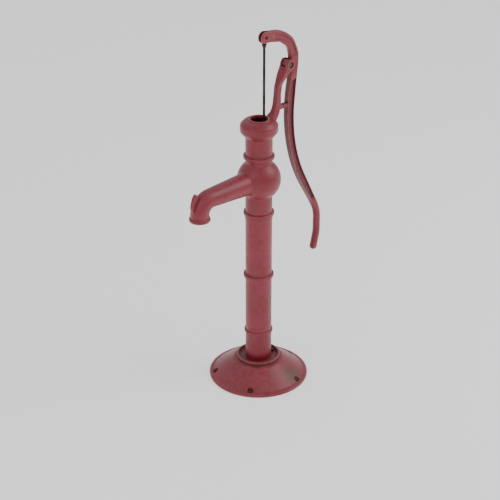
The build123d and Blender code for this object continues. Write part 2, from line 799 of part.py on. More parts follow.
# ---- plunger: slotted yoke, stem, cage, cup leather, follower and nuts ----
STEM_R = 6.0
HUB_Z = PLUNGER_Z + 41
YOKE_FOOT_Z = FOOT_PIN_Z - 36
SLOT_LOW_Z = FOOT_PIN_Z - FOOT_PIN_R - FREE
SLOT_TOP_Z = FOOT_PIN_Z + FOOT_PIN_R + 9
with BuildPart() as plunger_yoke:
    with BuildSketch(Plane.XZ):
        outline(
            (-17, SLOT_TOP_Z + 6, 6),
            (34.7, SLOT_TOP_Z + 6, 6),
            (34.7, SLOT_LOW_Z - 4, 6),
            (12, SLOT_LOW_Z - 15, 5),
            (-10, SLOT_LOW_Z - 15, 4),
            (-17, SLOT_LOW_Z - 4, 5),
        )
    extrude(amount=11.5, both=True)
    with BuildSketch(Plane.XZ):
        outline(
            (-12, SLOT_LOW_Z, 3),
            (29.5, SLOT_LOW_Z, 3),
            (29.5, SLOT_TOP_Z, 3),
            (-12, SLOT_TOP_Z, 3),
        )
    extrude(amount=12, both=True, mode=Mode.SUBTRACT)
    with BuildSketch(Plane.XZ):
        outline(
            (-40, SLOT_LOW_Z - 6, 0),
            (60, SLOT_LOW_Z - 6, 0),
            (60, SLOT_TOP_Z + 20, 0),
            (-40, SLOT_TOP_Z + 20, 0),
        )
    extrude(amount=6.3, both=True, mode=Mode.SUBTRACT)
    with BuildSketch(Plane.XY.offset(YOKE_FOOT_Z)):
        Circle(10)
    extrude(amount=SLOT_LOW_Z - 8 - YOKE_FOOT_Z)
    with BuildSketch(Plane.XY.offset(YOKE_FOOT_Z)):
        Circle(STEM_R)
    extrude(amount=14, mode=Mode.SUBTRACT)
finish(plunger_yoke, "plunger_yoke")

with BuildPart() as plunger_stem:
    with BuildSketch(Plane.XY.offset(HUB_Z + 1)):
        Circle(STEM_R)
    extrude(amount=YOKE_FOOT_Z + 13 - HUB_Z - 1)
finish(plunger_stem, "plunger_stem")

for place, nut_z in (("lower", HUB_Z + 13), ("upper", YOKE_FOOT_Z - 7)):
    with BuildPart() as stem_nut:
        with BuildSketch(Plane.XY.offset(nut_z)):
            RegularPolygon(radius=11, side_count=6)
            Circle(STEM_R, mode=Mode.SUBTRACT)
        extrude(amount=7)
    finish(stem_nut, f"stem_nut_{place}")

with BuildPart() as plunger_follower:
    with BuildSketch(Plane.XZ):
        outline(
            (VALVE_PORT_R, PLUNGER_Z, 1),
            (34, PLUNGER_Z, 1.5),
            (34, PLUNGER_Z + 7, 0),
            (19.8, PLUNGER_Z + 7, 0),
            (19.8, PLUNGER_Z + 19, 0.8),
            (VALVE_PORT_R, PLUNGER_Z + 19, 0),
        )
    revolve(axis=Axis.Z)
finish(plunger_follower, "plunger_follower")

with BuildPart() as cup_leather:
    with BuildSketch(Plane.XZ):
        outline(
            (20, PLUNGER_Z + 7, 0),
            (LINER_R - 0.3, PLUNGER_Z + 7, 2.5),
            (LINER_R - 0.3, PLUNGER_Z + 18.5, 0.5),
            (34, PLUNGER_Z + 18.5, 0.5),
            (34, PLUNGER_Z + 10, 0),
            (20, PLUNGER_Z + 10, 0),
        )
    revolve(axis=Axis.Z)
finish(cup_leather, "cup_leather")

with BuildPart() as plunger_cage:
    with BuildSketch(Plane.XZ):
        outline(
            (20, PLUNGER_Z + 10, 0),
            (33.7, PLUNGER_Z + 10, 0),
            (33.7, PLUNGER_Z + 16, 1),
            (20, PLUNGER_Z + 16, 0.5),
        )
    revolve(axis=Axis.Z)
    with BuildSketch(Plane.XY.offset(PLUNGER_Z + 15)):
        with PolarLocations(28, 3):
            Rectangle(7, 8)
    extrude(amount=HUB_Z + 7 - PLUNGER_Z - 15)
    with BuildSketch(Plane.XY.offset(HUB_Z)):
        Circle(13)
        with PolarLocations(18, 3):
            Rectangle(27, 8)
    extrude(amount=7)
    with BuildSketch(Plane.XY.offset(HUB_Z)):
        Circle(11)
    extrude(amount=13)
    with BuildSketch(Plane.XY.offset(HUB_Z + 1)):
        Circle(STEM_R)
    extrude(amount=20, mode=Mode.SUBTRACT)
finish(plunger_cage, "plunger_cage")

# ---- plunger_valve: winged poppet on the follower's rim ----
with BuildPart() as plunger_valve:
    with BuildSketch(Plane.XZ):
        outline(
            (0, PLUNGER_Z + 19, 0),
            (18.5, PLUNGER_Z + 19, 0.5),
            (18.5, PLUNGER_Z + 23, 1.5),
            (6, PLUNGER_Z + 25, 2),
            (5, PLUNGER_Z + 32, 1.5),
            (0, PLUNGER_Z + 32, 0),
        )
    revolve(axis=Axis.Z)
    with BuildSketch(Plane.XY.offset(PLUNGER_Z + 20)):
        with PolarLocations(0, 3):
            with Locations((6.5, 0)):
                Rectangle(13, 2.6)
    extrude(amount=-18)
finish(plunger_valve, "plunger_valve")
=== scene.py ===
import json
from math import atan2, ceil, cos, degrees, hypot, pi, radians, sin, sqrt, tan

import bmesh
import bpy
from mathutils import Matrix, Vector


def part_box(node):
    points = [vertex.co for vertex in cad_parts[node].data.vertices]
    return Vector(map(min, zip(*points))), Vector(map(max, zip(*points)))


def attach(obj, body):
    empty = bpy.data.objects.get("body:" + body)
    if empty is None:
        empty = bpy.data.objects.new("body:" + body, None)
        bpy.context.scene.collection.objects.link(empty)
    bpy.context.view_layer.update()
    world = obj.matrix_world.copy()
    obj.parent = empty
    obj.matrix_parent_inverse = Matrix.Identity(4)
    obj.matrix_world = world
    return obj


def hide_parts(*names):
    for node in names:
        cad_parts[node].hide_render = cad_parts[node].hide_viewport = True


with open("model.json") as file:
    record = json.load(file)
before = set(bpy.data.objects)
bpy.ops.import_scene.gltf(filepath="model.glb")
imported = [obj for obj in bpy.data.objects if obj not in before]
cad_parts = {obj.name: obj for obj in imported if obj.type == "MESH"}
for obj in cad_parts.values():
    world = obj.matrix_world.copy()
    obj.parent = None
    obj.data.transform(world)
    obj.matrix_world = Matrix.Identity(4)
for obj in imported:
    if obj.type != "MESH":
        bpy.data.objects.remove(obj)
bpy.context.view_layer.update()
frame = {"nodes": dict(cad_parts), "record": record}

# Lengths in this script are millimetres in the row frame until a mesh is made from them.
MM = 0.001
SLIVER = 2e-6  # metres; edges shorter than this are left-overs of a cut


def low(node):
    """Lowest corner of a CAD node in millimetres."""
    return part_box(node)[0] / MM


def high(node):
    """Highest corner of a CAD node in millimetres."""
    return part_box(node)[1] / MM


def middle_of(node):
    """A cross pin's axis as (across, up)."""
    return ((low(node).x + high(node).x) / 2, (low(node).z + high(node).z) / 2)


# ---- places that the frame gives ----
FOOT_R = high("base_flange").x
SOCKET_Z = low("stand_column").z
BARREL_Z = high("lower_gasket").z
HEAD_Z = low("pump_head").z
CAP_Z = low("cap_bracket").z
CAP_TOP_Z = high("cap_gasket").z + 68  # the cap's own height above its seal
BULB_R = high("pump_head").y
PIVOT = middle_of("pivot_pin")
TIP = middle_of("tip_pin")

# ---- sizes shared by the castings ----
MOUTH_Z = 745.0  # lowest edge of the spout
COLUMN_R = 49.0
BORE_R = 42.0
COLLAR_R = 56.5
PIVOT_HOLE_R = 7.06
TIP_HOLE_R = 4.06


# ---- outlines and turned pieces ----
def heading(before, here, after):
    """Direction of arrival at a corner, and the signed angle turned there, left positive."""
    back = (here - Vector(before[:2])).normalized()
    ahead = (Vector(after[:2]) - here).normalized()
    return back, atan2(back.x * ahead.y - back.y * ahead.x, back.dot(ahead))


def arc_at(here, back, angle, radius, pieces):
    """The arc that rounds a corner, as pieces + 1 points."""
    reach = radius * tan(abs(angle) / 2)
    side = Vector((-back.y, back.x)) * (radius if angle > 0 else -radius)
    centre = here - back * reach + side
    spoke = -side
    arc = []
    for k in range(pieces + 1):
        part = angle * k / pieces
        across = spoke.x * cos(part) - spoke.y * sin(part)
        up = spoke.x * sin(part) + spoke.y * cos(part)
        arc.append(centre + Vector((across, up)))
    return arc


def rounded(corners, step=4.0, turn=9.0, closed=True):
    """Points along an outline of (across, up, radius) corners, with each corner rounded."""
    count = len(corners)
    points = []
    for i, (a, b, radius) in enumerate(corners):
        here = Vector((a, b))
        if not closed and i in (0, count - 1):
            points.append(here)
            continue
        back, angle = heading(corners[i - 1], here, corners[(i + 1) % count])
        if radius <= 0 or abs(angle) < radians(0.5):
            points.append(here)
            continue
        pieces = max(2, ceil(degrees(abs(angle)) / turn))
        points += arc_at(here, back, angle, radius, pieces)
    dense = []
    last = len(points) if closed else len(points) - 1
    for i in range(last):
        start, end = points[i], points[(i + 1) % len(points)]
        if (end - start).length < 1e-6:
            continue
        pieces = max(1, ceil((end - start).length / step))
        dense += [start.lerp(end, k / pieces) for k in range(pieces)]
    if not closed:
        dense.append(points[-1])
    return dense


def tangent_corner(centre, radius, first, second):
    """The corner that a fillet of this centre and radius rounds, touching along first and second."""
    one, two = Vector(first).normalized(), Vector(second).normalized()
    return Vector(centre) + (one + two) * radius / (1 + one.dot(two))


def upright(x=0.0, y=0.0):
    """Spine that stands at (x, y): up is Z."""

    def place(up):
        return Vector((x, y, up)), Vector((1, 0, 0)), Vector((0, 1, 0))

    return place


def crosswise(x, z):
    """Spine along Y through (x, z)."""

    def place(up):
        return Vector((x, up, z)), Vector((0, 0, 1)), Vector((1, 0, 0))

    return place


def linked(name, mesh):
    """An object of this mesh, in the scene."""
    obj = bpy.data.objects.new(name, mesh)
    bpy.context.scene.collection.objects.link(obj)
    return obj


def new_object(name, vertices, faces):
    """A smooth-shaded mesh object from millimetre vertices, outward normals made sure of."""
    mesh = bpy.data.meshes.new(name)
    mesh.from_pydata([Vector(v) * MM for v in vertices], [], faces)
    work = bmesh.new()
    work.from_mesh(mesh)
    bmesh.ops.remove_doubles(work, verts=work.verts, dist=1e-7)
    bmesh.ops.delete(work, geom=[v for v in work.verts if not v.link_faces], context="VERTS")
    bmesh.ops.delete(work, geom=[e for e in work.edges if not e.link_faces], context="EDGES")
    bmesh.ops.recalc_face_normals(work, faces=work.faces)
    work.to_mesh(mesh)
    work.free()
    return linked(name, mesh)


def turned(name, corners, spine=None, segments=128, step=4.0):
    """A closed outline of (radius, along, corner radius) turned about a spine."""
    spine = spine or upright()
    points = rounded(corners, step)
    vertices = []
    for radius, along in points:
        centre, across, side = spine(along)
        for k in range(segments):
            angle = 2 * pi * k / segments
            vertices.append(centre + across * radius * cos(angle) + side * radius * sin(angle))
    rings = len(points)
    faces = []
    for i in range(rings):
        j = (i + 1) % rings
        for k in range(segments):
            m = (k + 1) % segments
            faces.append((i * segments + k, i * segments + m, j * segments + m, j * segments + k))
    return new_object(name, vertices, faces)


def lofted(name, sections):
    """A solid through closed sections of the same number of points, with flat ends."""
    count = len(sections[0])
    vertices = [point for section in sections for point in section]
    faces = []
    for i in range(len(sections) - 1):
        for k in range(count):
            m = (k + 1) % count
            faces.append((i * count + k, i * count + m, (i + 1) * count + m, (i + 1) * count + k))
    faces.append(tuple(range(count)))
    faces.append(tuple((len(sections) - 1) * count + k for k in range(count)))
    return new_object(name, vertices, faces)


def plate(name, corners, half, edge, middle=0.0):
    """A flat casting in the XZ plane, half thick each side of middle, with rounded rims."""
    points = rounded(corners, step=6.0)
    mesh = bpy.data.meshes.new(name)
    work = bmesh.new()
    near = [work.verts.new(Vector((a, middle - half, b)) * MM) for a, b in points]
    face = work.faces.new(near)
    grown = bmesh.ops.extrude_face_region(work, geom=[face])["geom"]
    moved = [item for item in grown if isinstance(item, bmesh.types.BMVert)]
    bmesh.ops.translate(work, verts=moved, vec=Vector((0, 2 * half * MM, 0)))
    rims = [e for e in work.edges if abs(e.verts[0].co.y - e.verts[1].co.y) < 1e-6]
    bmesh.ops.bevel(work, geom=rims, offset=edge * MM, segments=4, profile=0.5, affect="EDGES")
    bmesh.ops.recalc_face_normals(work, faces=work.faces)
    work.to_mesh(mesh)
    work.free()
    return linked(name, mesh)


def combine(base, others, how):
    """Adds others to base or cuts them from it, and removes them."""
    for other in others:
        change = base.modifiers.new("change", "BOOLEAN")
        change.operation = how
        change.solver = "EXACT"
        change.object = other
        graph = bpy.context.evaluated_depsgraph_get()
        made = bpy.data.meshes.new_from_object(base.evaluated_get(graph))
        base.modifiers.clear()
        base.data = made
        bpy.data.objects.remove(other)
    work = bmesh.new()
    work.from_mesh(base.data)
    bmesh.ops.remove_doubles(work, verts=work.verts, dist=SLIVER)
    bmesh.ops.dissolve_degenerate(work, edges=work.edges, dist=SLIVER)
    bmesh.ops.delete(work, geom=[e for e in work.edges if not e.link_faces], context="EDGES")
    work.to_mesh(base.data)
    work.free()
    return base


def rod_along_y(name, x, z, radius, half, middle=0.0, edge=0.3):
    """A short round bar across the pump, used to cut bores and recesses."""
    start, end = middle - half, middle + half
    corners = [(0, start, 0), (radius, start, edge), (radius, end, edge), (0, end, 0)]
    return turned(name, corners, crosswise(x, z), segments=64, step=50)


# ---- foot ----
def make_foot():
    """Bell foot with its dish, its lip, five bolt holes and the lock bolt's hole."""
    dish = 76.0
    foot = turned(
        "foot_casting",
        [
            (FOOT_R, 0, 1.5),
            (FOOT_R, 9, 4),
            (172, 12.5, 6),
            (93, 70, 12),
            (77.5, 74.5, 2.5),
            (77.5, 79, 1.2),
            (81, 80, 1.5),
            (81, 86.5, 2.5),
            (74.5, 87, 2.5),
            (71, dish + 0.5, 3),
            (COLUMN_R + 0.3, dish, 0.3),
            (COLUMN_R + 0.3, SOCKET_Z, 0),
            (43, SOCKET_Z, 0.5),
            (43, 26, 1),
            (58, 26, 2),
            (58, 54, 4),
            (80, 61, 6),
            (146, 10, 6),
            (151, 0, 1),
        ],
        segments=160,
    )
    bolts = next(m for m in frame["record"]["mounts"] if m["name"] == "base_bolts")["dims"]
    ring, hole, count = bolts["pcd_mm"] / 2, bolts["hole_r_mm"], bolts["count"]
    cutters = []
    for k in range(count):
        angle = 2 * pi * k / count
        cutters.append(
            turned(
                f"bolt_cut_{k}",
                [(0, -5, 0), (hole, -5, 0), (hole, 11, 0.8), (12.5, 11, 1.5), (12.9, 45, 0), (0, 45, 0)],
                upright(ring * cos(angle), ring * sin(angle)),
                segments=48,
            )
        )
    lock = (low("column_lock_bolt") + high("column_lock_bolt")) / 2
    lock_hole = [(0, 60, 0), (5.1, 60, 0), (5.1, 80, 0), (0, 80, 0)]
    cutters.append(turned("lock_cut", lock_hole, upright(lock.x, lock.y), segments=32))
    return combine(foot, cutters, "DIFFERENCE")


# ---- column castings ----
def make_stand():
    """Lower column with its small bead."""
    top = high("stand_column").z
    return turned(
        "stand_casting",
        [
            (BORE_R, SOCKET_Z, 1),
            (COLUMN_R, SOCKET_Z, 1),
            (COLUMN_R, 186, 1.5),
            (53.5, 187, 3),
            (53.5, 197, 3),
            (COLUMN_R, 198, 1.5),
            (COLUMN_R, top, 1),
            (BORE_R, top, 0.5),
        ],
    )


def make_barrel():
    """Middle column: collar at its foot, step at its top, socket ends inside."""
    foot, top = low("barrel").z, high("barrel").z
    return turned(
        "barrel_casting",
        [
            (36, foot, 0.5),
            (BORE_R - 0.3, foot, 1.5),
            (BORE_R - 0.3, BARREL_Z, 0),
            (51, BARREL_Z, 1),
            (COLLAR_R, BARREL_Z + 2, 3.5),
            (COLLAR_R, BARREL_Z + 14, 3.5),
            (COLUMN_R, BARREL_Z + 16, 2),
            (COLUMN_R, HEAD_Z - 15, 1),
            (51, HEAD_Z - 13.5, 0.8),
            (51, HEAD_Z - 2, 0.8),
            (44.8, HEAD_Z - 2, 0),
            (44.8, top, 0.5),
            (40.2, top, 0),
            (40.2, BARREL_Z + 4, 0),
            (36, BARREL_Z + 4, 0),
        ],
    )


# ---- head: bulb and neck, spout and bucket hook ----
BULB_Z = 818.0
SPOUT_Z = BULB_Z
SPOUT_ROOT_X, ELBOW_X, ELBOW_R = -40.0, -235.0, 50.0
LEVEL = SPOUT_ROOT_X - ELBOW_X
BEND = ELBOW_R * pi / 2
SPOUT_END = LEVEL + BEND + SPOUT_Z - ELBOW_R - MOUTH_Z


def along_spout(way):
    """Spine of the spout: level, round its elbow, then down. way starts at the root."""
    side = Vector((0, 1, 0))
    if way <= LEVEL:
        return Vector((SPOUT_ROOT_X - way, 0, SPOUT_Z)), Vector((0, 0, 1)), side
    if way <= LEVEL + BEND:
        angle = (way - LEVEL) / ELBOW_R
        up = Vector((-sin(angle), 0, cos(angle)))
        return Vector((ELBOW_X, 0, SPOUT_Z - ELBOW_R)) + up * ELBOW_R, up, side
    drop = way - LEVEL - BEND
    return Vector((ELBOW_X - ELBOW_R, 0, SPOUT_Z - ELBOW_R - drop)), Vector((-1, 0, 0)), side


def make_bulb():
    """Outside of the head as one solid, filled to the axis."""
    fillet = 9.0
    rise = sqrt((BULB_R + fillet) ** 2 - (COLUMN_R + fillet) ** 2)
    lower = tangent_corner((COLUMN_R + fillet, BULB_Z - rise), fillet, (-1, 0), (-COLUMN_R - fillet, rise))
    upper = tangent_corner((COLUMN_R + fillet, BULB_Z + rise), fillet, (-1, 0), (-COLUMN_R - fillet, -rise))
    belly = BULB_R * (BULB_R + fillet) / (COLUMN_R + fillet)
    return turned(
        "head_casting",
        [
            (0, HEAD_Z, 0),
            (51, HEAD_Z, 1),
            (COLLAR_R, HEAD_Z + 2, 3.5),
            (COLLAR_R, HEAD_Z + 14, 3.5),
            (COLUMN_R, HEAD_Z + 16, 2),
            (lower.x, lower.y, fillet),
            (belly, BULB_Z, BULB_R),
            (upper.x, upper.y, fillet),
            (COLUMN_R, 900, 1.5),
            (57, 902, 3.5),
            (57, 914, 3.5),
            (COLUMN_R, 916, 1.5),
            (COLUMN_R, CAP_Z - 2, 0.5),
            (45.2, CAP_Z - 2, 0),
            (45.2, CAP_Z + 12, 0.8),
            (0, CAP_Z + 12, 0),
        ],
    )


def make_head_inside():
    """The water's space up the middle: socket, bore and the hollow of the bulb."""
    hollow = BULB_R - 7
    rise = sqrt(hollow**2 - BORE_R**2)
    return turned(
        "head_inside",
        [
            (0, HEAD_Z - 5, 0),
            (45, HEAD_Z - 5, 0),
            (45, HEAD_Z + 23, 0),
            (BORE_R, HEAD_Z + 23, 0),
            (BORE_R, BULB_Z - rise, 0),
            (hollow**2 / BORE_R, BULB_Z, hollow - 0.01),
            (BORE_R, BULB_Z + rise, 0),
            (BORE_R, CAP_Z + 20, 0),
            (0, CAP_Z + 20, 0),
        ],
    )


SPOUT_WALL, ROOT_R, ELBOW_TUBE_R, MOUTH_R = 6.0, 43.9, 34.5, 34.0


def make_spout():
    """Outside of the spout as one solid, flared tangent to the bulb at its root."""
    fillet = 12.0
    slope = (ROOT_R - ELBOW_TUBE_R) / LEVEL
    lean = sqrt(1 + slope**2)
    # centre of the flare, as distances from the bulb's centre
    out = 80.0  # a first guess, which the loop settles
    for _ in range(40):
        across = ROOT_R - slope * (out + SPOUT_ROOT_X) + fillet * lean
        out = sqrt((BULB_R + fillet) ** 2 - across**2)
    start = (across, out + SPOUT_ROOT_X)
    corner = tangent_corner(start, fillet, (-1 / lean, -slope / lean), (-across, -out))
    on_bulb = Vector((across, out)) * BULB_R / (BULB_R + fillet)
    return turned(
        "spout",
        [
            (0, 5, 0),
            (on_bulb.x - 6, 5, 0),
            (on_bulb.x, on_bulb.y + SPOUT_ROOT_X - 0.4, 0),
            (corner.x, corner.y, fillet),
            (ELBOW_TUBE_R, LEVEL, 60),
            (MOUTH_R - 0.2, SPOUT_END - 14, 1.5),
            (37.5, SPOUT_END - 12.5, 3),
            (39, SPOUT_END - 5, 3.5),
            (36, SPOUT_END, 3),
            (0, SPOUT_END, 0),
        ],
        along_spout,
        segments=112,
    )


def make_spout_inside():
    """The water's way through the spout."""
    narrow = ELBOW_TUBE_R - SPOUT_WALL
    return turned(
        "spout_inside",
        [
            (0, 5, 0),
            (ROOT_R - SPOUT_WALL, 5, 0),
            (narrow, LEVEL, 0),
            (narrow, LEVEL + BEND, 0),
            (MOUTH_R - SPOUT_WALL, SPOUT_END - 1.5, 0.5),
            (MOUTH_R - SPOUT_WALL + 1.5, SPOUT_END, 0),
            (MOUTH_R - SPOUT_WALL + 1.5, SPOUT_END + 4, 0),
            (0, SPOUT_END + 4, 0),
        ],
        along_spout,
        segments=96,
    )


def make_bucket_hook():
    """The horn on the spout's elbow that holds a bucket's handle."""
    return plate(
        "bucket_hook",
        [
            (-270, 790, 0),
            (-291.5, 828, 3),
            (-300, 853, 2.5),
            (-306.5, 853, 3),
            (-316, 841, 10),
            (-323, 820, 20),
            (-325.2, 803, 12),
            (-317, 778, 4),
            (-290, 775, 0),
        ],
        6.0,
        2.4,
    )


def make_head():
    """One casting: outside joined first, then hollowed, so that no inner face is left."""
    outside = combine(make_bulb(), [make_spout(), make_bucket_hook()], "UNION")
    return combine(outside, [make_head_inside(), make_spout_inside()], "DIFFERENCE")


# ---- cap, arm and fork ----
ARM_HALF = 10.0
FORK_HALF, FORK_GAP_HALF = 19.2, 10.9
RECESS = 4.5


def smooth_step(value, start, end):
    """0 before start, 1 after end, eased between."""
    t = min(1.0, max(0.0, (value - start) / (end - start)))
    return t * t * (3 - 2 * t)


def section(centre, across, half_wide, half_thick, corner, pocket=0.0, round_part=0.0, rims=(7.5, 5.5)):
    """Closed section of a bar at a point of the XZ plane: across is its wide way there, Y its thick way.

    rims are the inner and outer widths left standing beside the pocket."""
    flat = half_wide - corner
    inner_rim, outer_rim = rims
    slope = 1.4  # how far the pocket's wall leans
    stops = [
        flat,
        half_wide - outer_rim,
        half_wide - outer_rim - slope,
        0.3,
        -half_wide + inner_rim + slope,
        -half_wide + inner_rim,
        -flat,
    ]
    depths = [0, 0, 1, 1, 1, 0, 0]
    ring = []
    for k in range(5):
        ring.append((half_wide, (half_thick - corner) * (-1 + k / 2)))
    for k in range(1, 6):
        angle = radians(15 * k)
        ring.append((flat + corner * cos(angle), half_thick - corner + corner * sin(angle)))
    for stop, depth in zip(stops, depths):
        ring.append((stop, half_thick - pocket * depth))
    for k in range(1, 6):
        angle = radians(90 + 15 * k)
        ring.append((-flat + corner * cos(angle), half_thick - corner + corner * sin(angle)))
    upper = ring[5:]
    ring += [(-half_wide, (half_thick - corner) * (1 - k / 2)) for k in range(5)]
    ring += [(a, -b) for a, b in reversed(upper)]
    count = len(ring)
    points = []
    for k, (a, b) in enumerate(ring):
        angle = 2 * pi * (k - 2) / count
        round_a, round_b = half_wide * cos(angle), half_thick * sin(angle)
        a, b = a + (round_a - a) * round_part, b + (round_b - b) * round_part
        points.append(Vector((centre[0] + across[0] * a, b, centre[1] + across[1] * a)))
    return points


def paired(left, right, counts=(7, 7)):
    """Matching points along two open outlines with the same corners: counts on each arc and each run."""
    arc_count, run_count = counts
    sides = []
    for corners in (left, right):
        path = []
        for i, (a, b, radius) in enumerate(corners):
            here = Vector((a, b))
            if i in (0, len(corners) - 1):
                path.append([here])
                continue
            back, angle = heading(corners[i - 1], here, corners[i + 1])
            path.append(arc_at(here, back, angle, radius, arc_count - 1))
        points = []
        for i, arc in enumerate(path):
            points += arc
            if i + 1 < len(path):
                start, end = arc[-1], path[i + 1][0]
                points += [start.lerp(end, k / run_count) for k in range(1, run_count)]
        sides.append(points)
    return list(zip(*sides))


def make_arm():
    """The arm from the cap to the fork, thicker at its root and across the ears."""
    left = [
        (44, 1040, 0),
        (62, 1056, 16),
        (71, 1083, 30),
        (75.5, 1118, 60),
        (79, 1150, 25),
        (100, 1186, 30),
        (117, 1222, 0),
    ]
    right = [
        (70, 1024, 0),
        (93, 1058, 14),
        (101, 1082, 20),
        (100.3, 1122, 40),
        (106.5, 1156, 20),
        (126, 1187, 14),
        (153, 1210, 0),
    ]
    sections = []
    for inner, outer in paired(left, right, (6, 5)):
        middle = (inner + outer) / 2
        across = (outer - inner).normalized()
        half = (outer - inner).length / 2
        thick = ARM_HALF + (FORK_HALF - ARM_HALF) * smooth_step(middle.y, 1148, 1192)
        thick += 6.0 * (1 - smooth_step(middle.y, 1040, 1072))
        corner = min(5.0, half * 0.6)
        sections.append(section(middle, across, half, thick, corner, rims=(half * 0.6, half * 0.6)))
    return lofted("arm", sections)


def make_cap():
    """Cap, arm, fork and stop lug in one casting, open in the middle for the rod."""
    cap = turned(
        "cap_casting",
        [
            (51.5, CAP_Z, 1.5),
            (57, CAP_Z + 7, 6),
            (68.5, 1006, 12),
            (68.5, 1031, 13),
            (54, 1045, 8),
            (40, 1047.5, 2),
            (38.5, CAP_TOP_Z, 2),
            (31, CAP_TOP_Z, 1.8),
            (31, 1041, 1.5),
            (46, 1039, 6),
            (59, 1027, 8),
            (59, 1006, 8),
            (45.4, CAP_Z + 13, 0),
            (45.4, CAP_Z, 0.3),
        ],
        step=3.0,
    )
    ear = turned(
        "ears",
        [
            (0, -FORK_HALF, 0),
            (20.5, -FORK_HALF, 3.5),
            (20.5, FORK_HALF, 3.5),
            (0, FORK_HALF, 0),
        ],
        crosswise(*PIVOT),
        segments=72,
        step=3.0,
    )
    arm = combine(make_arm(), [ear], "UNION")
    slot_corners = [
        (PIVOT[0] - 22, PIVOT[1] - 10, 8),
        (128, 1196, 10),
        (140, 1150, 0),
        (200, 1150, 0),
        (200, 1300, 0),
        (PIVOT[0] - 22, 1300, 0),
    ]
    slot = plate("fork_slot", slot_corners, FORK_GAP_HALF, 0.01)
    gap = rod_along_y("eye_gap", PIVOT[0], PIVOT[1], 22, FORK_GAP_HALF)
    bore = rod_along_y("pivot_bore", PIVOT[0], PIVOT[1], PIVOT_HOLE_R, 30)
    recess = rod_along_y("pin_recess", PIVOT[0], PIVOT[1], 11.5, RECESS, -FORK_HALF, 0.8)
    combine(arm, [slot, gap, bore, recess], "DIFFERENCE")
    lug_corners = [(90, 1061, 0), (112, 1061, 3), (112, 1076, 3), (90, 1076, 0)]
    lug = plate("stop_lug", lug_corners, ARM_HALF - 0.5, 2.5)
    combine(arm, [lug], "UNION")
    inside = turned(
        "cap_inside",
        [
            (0, CAP_Z - 5, 0),
            (55, CAP_Z - 5, 0),
            (59, 1006, 8),
            (59, 1027, 8),
            (46, 1039, 6),
            (31, 1041, 1.5),
            (31, 1080, 0),
            (0, 1080, 0),
        ],
        segments=96,
    )
    combine(arm, [inside], "DIFFERENCE")
    return combine(cap, [arm], "UNION")


# ---- lever ----
LEVER_HALF, EYE_HALF, GRIP_R = 11.5, 10.5, 14.0
GRIP_ROOT = 12  # half width where the grip leaves the flat bar
TIP_R, BOSS_Z = 21.9, TIP[1] - 1


def lever_thickness(x, z):
    """Half thickness of the lever at a place: thinner between the fork's ears."""
    near = hypot(x - PIVOT[0], z - PIVOT[1])
    thin = EYE_HALF - 0.1
    return thin + (LEVER_HALF - thin) * smooth_step(near, 27, 40)


